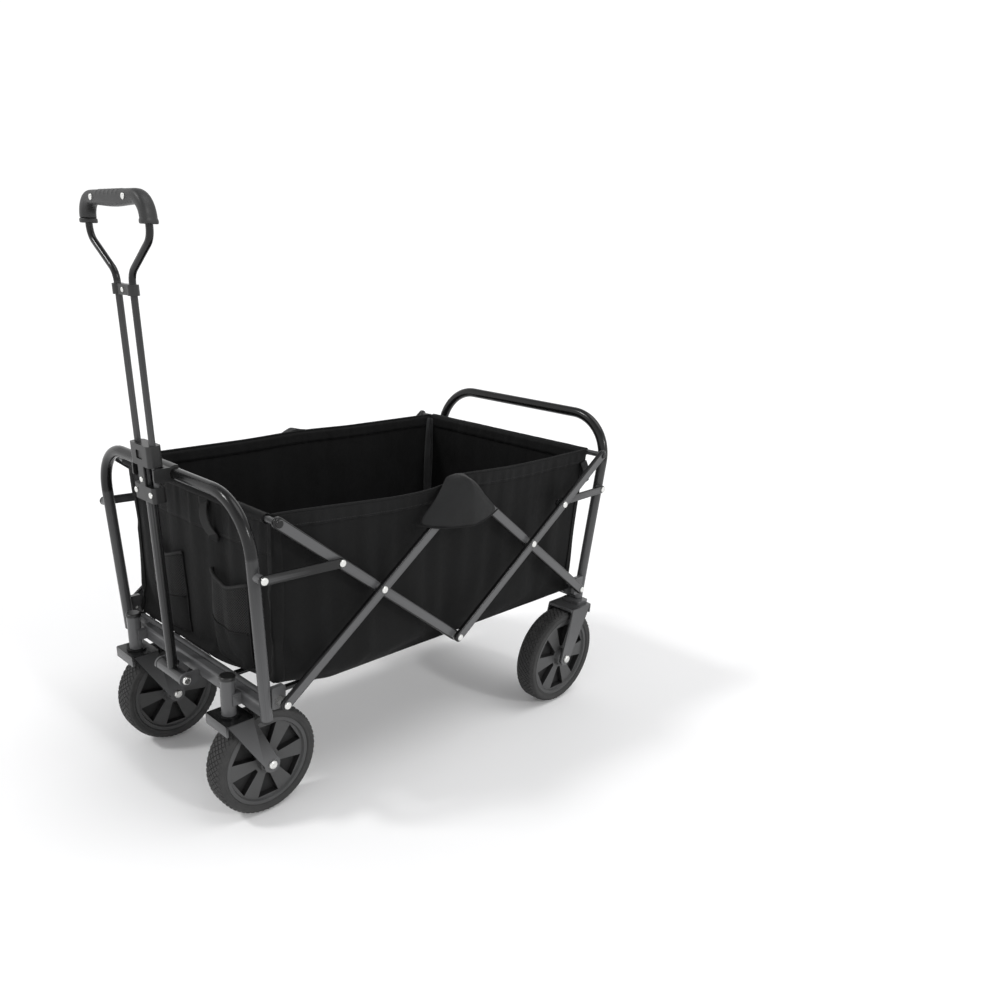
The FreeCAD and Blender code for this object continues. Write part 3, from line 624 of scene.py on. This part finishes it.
# Corner seams: a binding strip outside and a paler one inside each corner.
for k, corner in enumerate(CORNERS):
    names = ("front_left", "front_right", "rear_right", "rear_left")
    for where, lift in (("outside", 0.7 * MM), ("inside", -2.4 * MM)):
        rows = []
        for b in range(49):
            v = 0.01 + 0.97 * b / 48
            line = []
            for offset in (-1.35, -0.7, 0.0, 0.7, 1.35):
                i = corner + offset
                n = wall_normal(i, v) if abs(offset) > 0.1 else \
                    (wall_normal(i - 0.7, v) + wall_normal(i + 0.7, v)).normalized()
                line.append(wall_at(i, v) + n * lift)
            rows.append(line)
        cloth = LINING_CLOTH if where == "inside" else BAND_CLOTH
        strip = grid("binding_%s_%s" % (where, names[k]), rows, cloth)
        thicken(strip, 0.9 * MM, 1.0 if where == "outside" else -1.0, 1)
        on_bag(strip)

# Rim: a rolled edge along each side, and a sleeve round each cross rod.
for side, sign in (("right", 1), ("left", -1)):
    i0, i1 = WALL_SPANS[side]
    path = []
    for k in range(4 * ALONG + 1):
        i = lerp(i0, i1, k / (4 * ALONG))
        path.append(wall_at(i, 1.0) + Vector((-sign * 0.4 * MM, 0, 0)))
    rim = tube_mesh("rolled_rim_" + side, path, 2.3 * MM, BAND_CLOTH, 10)
    on_bag(rim)
    sheet_parts[side].append(rim)


def rod_sleeve(name, centre, body):
    """Cloth sleeve round a rim rod, gathered softly, open at both ends."""
    half = BAG_X - 4 * MM
    rows = []
    for a in range(97):
        x = lerp(-half, half, a / 96)
        line = []
        for s in range(20):
            turn = 2 * math.pi * s / 20
            r = ROD_R + 1.5 * MM + 0.5 * MM * noise.noise(Vector((x * 34, math.cos(turn), math.sin(turn))))
            line.append(Vector((x, centre.y + r * math.cos(turn), centre.z + r * math.sin(turn))))
        rows.append(line)
    sleeve = thicken(grid(name, rows, BAND_CLOTH, closed=True), 0.9 * MM, 1.0, 1)
    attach(sleeve, body)
    return sleeve


sleeve_front = rod_sleeve("rod_sleeve_front", FRONT_ROD, "bag")
sleeve_rear = rod_sleeve("rod_sleeve_rear", REAR_ROD, "right_a2")
sheet_parts["front"].append(sleeve_front)
sheet_parts["rear"].append(sleeve_rear)

# --------------------------------------------------------------- front pockets
POCKET_COLUMNS = 36


def pocket_point(sign, u, v, extra=0.0):
    """Surface of a bulging pocket; u from its left to its right edge, v upwards."""
    taper = 7 * MM * smoothstep(v, 0.35, 1.0)
    x = lerp(POCKET_IN + taper, POCKET_OUT - taper, u)
    z_top = POCKET_TOP - 1 * MM - 13 * MM * math.sin(math.pi * u) ** 1.4
    z = lerp(POCKET_LOW + 2 * MM, z_top, v)
    across = math.sin(math.pi * min(1, max(0, u))) ** 0.7
    height = 0.35 + 0.65 * math.sin(math.pi * min(1.0, 0.12 + v * 0.62)) ** 0.8
    depth = (14.0 * MM * across * height) + 1.2 * MM
    depth += 1.0 * MM * across * noise.noise(Vector((x * 40, z * 40, sign)))
    i = ACROSS * (0.5 + sign * x / WIDTH)
    v_wall = (z - BAG_LOW) / WALL_H
    back = wall_at(i, v_wall).y if 0 < v_wall < 1 else PANEL_FRONT
    return Vector((sign * x, min(back, PANEL_FRONT + 6 * MM) - depth - extra, z))


def net_strands(name, sign, low, high, pitch=4.6 * MM, radius=0.42 * MM):
    """Knotless diamond net: two families of slanted strands joined in one mesh."""
    wide = POCKET_OUT - POCKET_IN
    tall = (POCKET_TOP - POCKET_LOW) * (high - low)
    points, faces, uvs = [], [], []
    for slant in (1, -1):
        start = -tall if slant > 0 else 0.0
        end = wide if slant > 0 else wide + tall
        count = int((end - start) / pitch)
        for k in range(count + 1):
            c = start + k * pitch
            line = []
            steps = int(tall / (2.4 * MM))
            for m in range(steps + 1):
                d = tall * m / steps
                x = c + slant * d
                if 0 <= x <= wide:
                    lift = 0.35 * MM * slant * math.cos(math.pi * 2 * x / pitch)
                    line.append(pocket_point(sign, x / wide, low + (high - low) * d / tall, lift))
            if len(line) < 3:
                continue
            base = len(points)
            for a, p in enumerate(line):
                tangent = (line[min(a + 1, len(line) - 1)] - line[max(a - 1, 0)]).normalized()
                flat = tangent.cross(Vector((0, 1, 0))).normalized()
                up = flat.cross(tangent).normalized()
                for q in range(4):
                    turn = math.pi / 4 + math.pi / 2 * q
                    points.append(p + (flat * math.cos(turn) + up * math.sin(turn)) * radius)
                    uvs.append((q * 0.001, a * 0.0025))
            for a in range(len(line) - 1):
                for q in range(4):
                    r = (q + 1) % 4
                    faces.append((base + a * 4 + q, base + a * 4 + r,
                                  base + a * 4 + 4 + r, base + a * 4 + 4 + q))
    return new_mesh(name, points, faces, NET, uvs)


pocket_pieces = []
for sign, side in ((1, "right"), (-1, "left")):
    solid_rows = [[pocket_point(sign, a / POCKET_COLUMNS, b / 20 * 0.46) for a in range(POCKET_COLUMNS + 1)]
                  for b in range(21)]
    lower = thicken(grid("pocket_cloth_" + side, solid_rows, BLACK_CLOTH), 0.9 * MM, 0.0, 1)
    on_bag(lower, False)
    net = on_bag(net_strands("pocket_net_" + side, sign, 0.44, 0.99), False)
    trim_path = [pocket_point(sign, a / 60, 1.0, 0.6 * MM) for a in range(61)]
    trim = tube_mesh("pocket_elastic_" + side, trim_path,
                     lambda k: (2.7 + 0.35 * math.sin(k * 2.1)) * MM, WEBBING, 10)
    on_bag(trim, False)
    for tag, u in (("inner", 0.0), ("outer", 1.0)):
        path = [pocket_point(sign, u, b / 40, 0.4 * MM) for b in range(41)]
        edge = tube_mesh("pocket_edge_%s_%s" % (tag, side), path, 1.7 * MM, BAND_CLOTH, 8)
        on_bag(edge, False)
    seam_path = [pocket_point(sign, lerp(0.03, 0.97, a / 50), 0.45, 0.9 * MM) for a in range(51)]
    hem = tube_mesh("pocket_seam_" + side, seam_path, 1.5 * MM, BAND_CLOTH, 8)
    on_bag(hem, False)
    pocket_pieces += [lower, net]
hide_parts("bag_pockets")

# ------------------------------------------------ flaps over the upper joints
FLAP_ROWS = (
    ((368, 533, 218.6), (376, 534, 218.6), (384, 535, 218.6), (392, 535.5, 218.6),
     (400, 535, 218.6), (408, 534, 218.6), (416, 532, 218.6)),
    ((348, 517, 230), (362, 524, 244), (376, 531, 257), (391, 537, 260),
     (404, 531, 258), (417, 523, 249), (430, 513, 232)),
    ((316, 494, 238), (338, 496, 259), (362, 499, 261.5), (394, 502, 263),
     (416, 499, 260.5), (436, 494, 255), (452, 488, 245)),
    ((282, 471, 240), (318, 465.5, 261), (356, 460, 262), (398, 456, 263),
     (424, 459, 260.5), (448, 463, 256), (471, 468, 249)),
)
POST_LINE = middle("front_crossbar").y


def flap(side, sign):
    """Cover sewn to the rim; it tents over the joint and hangs to a point."""
    rows = [[Vector((sign * x * MM, POST_LINE + y * MM, z * MM)) for y, z, x in row] for row in FLAP_ROWS]
    if sign < 0:
        rows = [list(reversed(row)) for row in rows]
    cover = grid("flap_" + side, rows, FLAP_CLOTH, (0.03, 0.028))
    crease = cover.data.attributes.new("crease_edge", "FLOAT", "EDGE")
    ridge = {3 + 7 * j for j in range(4)}
    values = [0.95 if set(e.vertices) <= ridge else (0.9 if max(e.vertices) < 7 else 0.0)
              for e in cover.data.edges]
    crease.data.foreach_set("value", values)
    thicken(cover, 1.2 * MM, 0.0, 3)
    on_bag(cover)
    hem_path = [rows[-1][k].lerp(rows[-1][k + 1], t / 8) for k in range(6) for t in range(8)]
    hem_path.append(rows[-1][6])
    for _ in range(3):
        hem_path = ([hem_path[0]] + [(a + b * 2 + c) / 4 for a, b, c in
                                     zip(hem_path, hem_path[1:], hem_path[2:])] + [hem_path[-1]])
    edge = on_bag(tube_mesh("flap_edge_" + side, hem_path, 1.3 * MM, BAND_CLOTH, 8))
    return cover


flap_right = flap("right", 1)
flap("left", -1)
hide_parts("bag_flaps")


# ------------------------------------------------------------ straps and tabs
def strap(name, spine, across, width, material=WEBBING, folds=False, thickness=1.5 * MM):
    """Flat webbing along a spine of points; across is the strap's own width."""
    rows = [[p + across * (w - 0.5) * width for w in (0, 0.25, 0.5, 0.75, 1)] for p in spine]
    piece = thicken(grid(name, rows, material, (width / 4, 4 * MM)), thickness, 0.0, 1)
    return on_bag(piece, folds)


def loop_spine(top, low, bulge, steps=22):
    line = []
    for k in range(steps + 1):
        t = k / steps
        p = top.lerp(low, t)
        line.append(p + Vector((0, -bulge * math.sin(math.pi * t) ** 0.8, 0)))
    return line


pull_top = Vector((38 * MM, PANEL_FRONT - 2.6 * MM, 509 * MM))
pull_low = Vector((62 * MM, PANEL_FRONT - 3.2 * MM, 459 * MM))
pull = strap("pull_loop", loop_spine(pull_top, pull_low, 9 * MM), Vector((0.93, 0, 0.36)), 24 * MM)
sheet_parts["front"].append(pull)
for k, centre in enumerate((pull_top, pull_low)):
    pad_spine = [centre + Vector((0, -1.6 * MM, dz * MM)) for dz in (-7, -3.5, 0, 3.5, 7)]
    sheet_parts["front"].append(strap("pull_patch_%d" % k, pad_spine, Vector((1, 0, 0)), 29 * MM, BAND_CLOTH))

tab_top = Vector((BAG_X + 3 * MM, PANEL_REAR - 9 * MM, 508 * MM))
tab_low = Vector((BAG_X + 5 * MM, PANEL_REAR + 5 * MM, 466 * MM))
tab_spine = [tab_top.lerp(tab_low, k / 14) + Vector((4 * MM * math.sin(math.pi * k / 14), 0, 0))
             for k in range(15)]
tab = strap("tie_tab", tab_spine, Vector((0, 0.95, 0.3)), 17 * MM, folds=True)
sheet_parts["right"].append(tab)


# ---------------------------------------------------------------------- wheels
SHOULDER = 1.8 * MM           # radius of the tyre's shoulders
TREAD_DEPTH = 1.5 * MM
CROWN = 3.4 * MM              # how far the tread falls away at its edges


def tread_radius(radius, share):
    """Radius of the tread's ground at a share of its half width."""
    return radius - TREAD_DEPTH - CROWN * share ** 5


def tyre_profile(radius, half):
    """Section of the tyre as (offset, radius), rounded shoulders."""
    section = []
    for k in range(33):
        t = -1 + 2 * k / 32
        section.append((t * (half - SHOULDER), tread_radius(radius, abs(t))))
    side = []
    for k in range(1, 9):
        a = math.pi / 2 * k / 8
        side.append((half - SHOULDER + SHOULDER * math.sin(a),
                     radius - 4.9 * MM - 3 * MM * (1 - math.cos(a))))
    wall = [(half, radius - 11 * MM), (half - 0.6 * MM, radius - 12.2 * MM),
            (half - 0.6 * MM, radius - 14 * MM), (half - 0.1 * MM, radius - 15.2 * MM),
            (half - 2.4 * MM, radius - 18 * MM)]
    right = side + wall
    left = [(-x, r) for x, r in right]
    return list(reversed(left)) + section + right


def tyre_mesh(name, radius, half, around=144):
    profile = tyre_profile(radius, half)
    points, faces, uvs = [], [], []
    rows = len(profile)
    for k in range(around):
        a = 2 * math.pi * k / around
        for m, (x, r) in enumerate(profile):
            points.append((x, r * math.cos(a), r * math.sin(a)))
            uvs.append((m * 0.002, k * 0.004))
    for k in range(around):
        n = (k + 1) % around
        for m in range(rows - 1):
            faces.append((k * rows + m, k * rows + m + 1, n * rows + m + 1, n * rows + m))
        faces.append((k * rows + rows - 1, k * rows, n * rows, n * rows + rows - 1))
    # Raised diamonds between crossing grooves.
    pitch = 10.4 * MM
    count = round(2 * math.pi * radius / pitch)
    step = 2 * math.pi / count
    lanes = 7
    lane = 5.2 * MM
    for row in range(lanes):
        x0 = (row - (lanes - 1) / 2) * lane
        for k in range(count):
            a0 = step * (k + 0.5 * (row % 2))

            def place(dx, da, height):
                x = x0 + dx
                t = min(1.0, abs(x) / (half - SHOULDER))
                r = tread_radius(radius, t) + height
                a = a0 + da
                return (x, r * math.cos(a), r * math.sin(a))

            n = len(points)
            for size, height in ((0.93, -0.3 * MM), (0.74, 1.4 * MM)):
                points += [place(lane * size, 0, height), place(0, step / 2 * size, height),
                           place(-lane * size, 0, height), place(0, -step / 2 * size, height)]
                uvs += [(0, 0), (0.001, 0), (0.001, 0.001), (0, 0.001)]
            faces.append((n + 4, n + 5, n + 6, n + 7))
            for q in range(4):
                r = (q + 1) % 4
                faces.append((n + q, n + r, n + 4 + r, n + 4 + q))
    obj = new_mesh(name, points, faces, RUBBER, uvs)
    smooth = around * rows
    for polygon in obj.data.polygons[smooth:]:
        polygon.use_smooth = False
    return obj


for corner in ("front_right", "front_left", "rear_right", "rear_left"):
    lo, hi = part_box("tyre_" + corner)
    tread = tyre_mesh("tyre_tread_" + corner, (hi.z - lo.z) / 2, (hi.x - lo.x) / 2)
    tread.location = (lo + hi) / 2
    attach(tread, "wheel_" + corner)
    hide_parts("tyre_" + corner)


# ------------------------------------------------------------------------ grip
# The handle as in the frame: its hinge, its lean and the height of the grip.
HINGE_BOLT_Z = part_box("handle_lower_tube")[0].z + 11 * MM
LEAN = math.radians(2.3)


def along_handle(x, u, forward=0.0):
    """Point at height u up the handle, from the hinge, leaning with it."""
    base_y = POST_LINE - 34 * MM
    return Vector((x, base_y - u * math.sin(LEAN) - forward * math.cos(LEAN),
                   HINGE_BOLT_Z + u * math.cos(LEAN) - forward * math.sin(LEAN)))


GRIP_HALF = 87.5 * MM
GRIP_U = 711.5 * MM
GRIP_BEND = 26 * MM


def grip_line(steps=72):
    """Centre line of the grip: up one side, over two bends and down again."""
    low = 681.2 * MM
    rise = GRIP_U - GRIP_BEND - low
    arc = GRIP_BEND * math.pi / 2
    flat = 2 * (GRIP_HALF - GRIP_BEND)
    total = 2 * rise + 2 * arc + flat
    line = []
    for k in range(steps + 1):
        d = total * k / steps
        half = min(d, total - d)
        if half < rise:
            x, u, turn = GRIP_HALF, low + half, 0.0
        elif half < rise + arc:
            turn = (half - rise) / GRIP_BEND
            x = GRIP_HALF - GRIP_BEND * (1 - math.cos(turn))
            u = GRIP_U - GRIP_BEND + GRIP_BEND * math.sin(turn)
        else:
            turn = math.pi / 2
            x = GRIP_HALF - GRIP_BEND - (half - rise - arc)
            u = GRIP_U
        sign = 1 if d <= total / 2 else -1
        line.append((x * sign, u, turn * sign, half / (total / 2)))
    return line


def grip_mesh():
    """Moulded grip: rounded-square section, palm swell below, ribs on top."""
    rows = []
    for x, u, turn, share in grip_line(160):
        outward = Vector((math.cos(turn), 0, abs(math.sin(turn)))) if turn >= 0 else \
            Vector((-math.cos(turn), 0, abs(math.sin(turn))))
        swell = math.exp(-(x / (42 * MM)) ** 2) * (1.0 if abs(turn) > 1.5 else 0.0)
        collar = 1.0 * MM * (1 - smoothstep(share, 0.02, 0.05))
        line = []
        for s in range(28):
            a = 2 * math.pi * s / 28
            ca, sa = math.cos(a), math.sin(a)
            square = (abs(ca) ** 2.6 + abs(sa) ** 2.6) ** (-1 / 2.6)
            out = 9.8 * MM * square * ca
            side = 11.2 * MM * square * sa
            if out < 0:
                out *= 1.0 + 0.32 * swell
            rib = 0.0
            if abs(turn) > 1.5 and abs(x) < 36 * MM and ca > 0.35:
                rib = 0.55 * MM * max(0.0, math.sin(x / (1.9 * MM)))
            scale = 1 + (collar + rib) / (11 * MM)
            centre = along_handle(x, u)
            line.append(centre + outward * out * scale * 0.93 + Vector((0, -1, 0)) * side * scale)
        rows.append(line)
    return rows


grip_rows = grip_mesh()
grip = grid("grip_moulding", grip_rows, GRIP, (0.003, 0.0014), closed=True)
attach(grip, "handle_slider")
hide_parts("handle_grip")
for k, row in enumerate((grip_rows[0], grip_rows[-1])):
    centre = sum(row, Vector()) / len(row)
    rings = [[centre.lerp(p, t) + Vector((0, 0, dz * MM)) for p in row]
             for t, dz in ((1.0, 0.0), (0.97, -1.2), (0.86, -1.8), (0.48, -1.8), (0.45, 2.0))]
    cap = grid("grip_collar_%d" % k, rings, GRIP, (0.003, 0.002), closed=True)
    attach(cap, "handle_slider")


# --------------------------------------------------------------- stage and view
def soft_sun(name, direction, strength, angle):
    """Wide, even light from far away, as from a large soft box."""
    data = bpy.data.lights.new(name, "SUN")
    data.energy, data.angle = strength, math.radians(angle)
    obj = bpy.data.objects.new(name, data)
    bpy.context.scene.collection.objects.link(obj)
    obj.rotation_mode = "QUATERNION"
    obj.rotation_quaternion = Vector(direction).to_track_quat("Z", "Y")


def pale_floor():
    n = Nodes("pale_floor")
    n.colour(n.ramp(n.noise(0.4, 1.0), (0.955, 0.955, 0.955), (0.965, 0.965, 0.965)))
    n.set(Roughness=1.0, Specular_IOR_Level=0.0)
    rim, sides = 60.0, 64
    turns = [2 * math.pi * k / sides for k in range(sides)]
    points = [Vector((rim * math.cos(a), rim * math.sin(a), -0.5 * MM)) for a in turns]
    new_mesh("floor_disc", points, [tuple(range(sides))], n.material)


def studio_world():
    """Bright near the horizon, dimmer overhead, so that round tubes keep contrast."""
    world = bpy.data.worlds.new("studio")
    world.use_nodes = True
    tree = world.node_tree
    place = tree.nodes.new("ShaderNodeTexCoord")
    split = tree.nodes.new("ShaderNodeSeparateXYZ")
    ramp = tree.nodes.new("ShaderNodeValToRGB")
    tree.links.new(place.outputs["Generated"], split.inputs["Vector"])
    tree.links.new(split.outputs["Z"], ramp.inputs["Fac"])
    tree.links.new(ramp.outputs["Color"], tree.nodes["Background"].inputs["Color"])
    ends = ramp.color_ramp.elements
    ends[0].position, ends[0].color = 0.34, (1.05, 1.05, 1.05, 1)
    ends[1].position, ends[1].color = 0.80, (0.42, 0.42, 0.43, 1)
    bpy.context.scene.world = world


pale_floor()
studio_world()
soft_sun("key", (-0.45, -0.75, 0.95), 0.9, 9)
soft_sun("top", (0.25, 0.30, 1.0), 0.8, 40)
soft_sun("side", (0.95, 0.10, 0.55), 0.6, 8)
bpy.context.scene.view_settings.view_transform = "Standard"

# Camera at the viewing angle of the reference view.
VIEW_AZIMUTH, VIEW_ELEVATION, VIEW_ROLL = (math.radians(a) for a in (46.46, 23.79, 2.14))
EYE = Vector((1.1743, POST_LINE - 0.6311, 0.8815))
back = Vector((math.sin(VIEW_AZIMUTH) * math.cos(VIEW_ELEVATION),
               -math.cos(VIEW_AZIMUTH) * math.cos(VIEW_ELEVATION), math.sin(VIEW_ELEVATION)))
right = Vector((math.cos(VIEW_AZIMUTH), math.sin(VIEW_AZIMUTH), 0))
up = back.cross(right)
rolled_right = right * math.cos(VIEW_ROLL) + up * math.sin(VIEW_ROLL)
rolled_up = up * math.cos(VIEW_ROLL) - right * math.sin(VIEW_ROLL)
lens = bpy.data.cameras.new("camera")
lens.sensor_width = 36.0
lens.lens = 36.0 * 0.85018
lens.shift_x, lens.shift_y = 0.10, 0.12
lens.clip_start, lens.clip_end = 0.05, 60.0
camera = bpy.data.objects.new("camera", lens)
camera.matrix_world = Matrix((
    (rolled_right.x, rolled_up.x, back.x, EYE.x),
    (rolled_right.y, rolled_up.y, back.y, EYE.y),
    (rolled_right.z, rolled_up.z, back.z, EYE.z),
    (0, 0, 0, 1)))
bpy.context.scene.collection.objects.link(camera)
bpy.context.scene.camera = camera
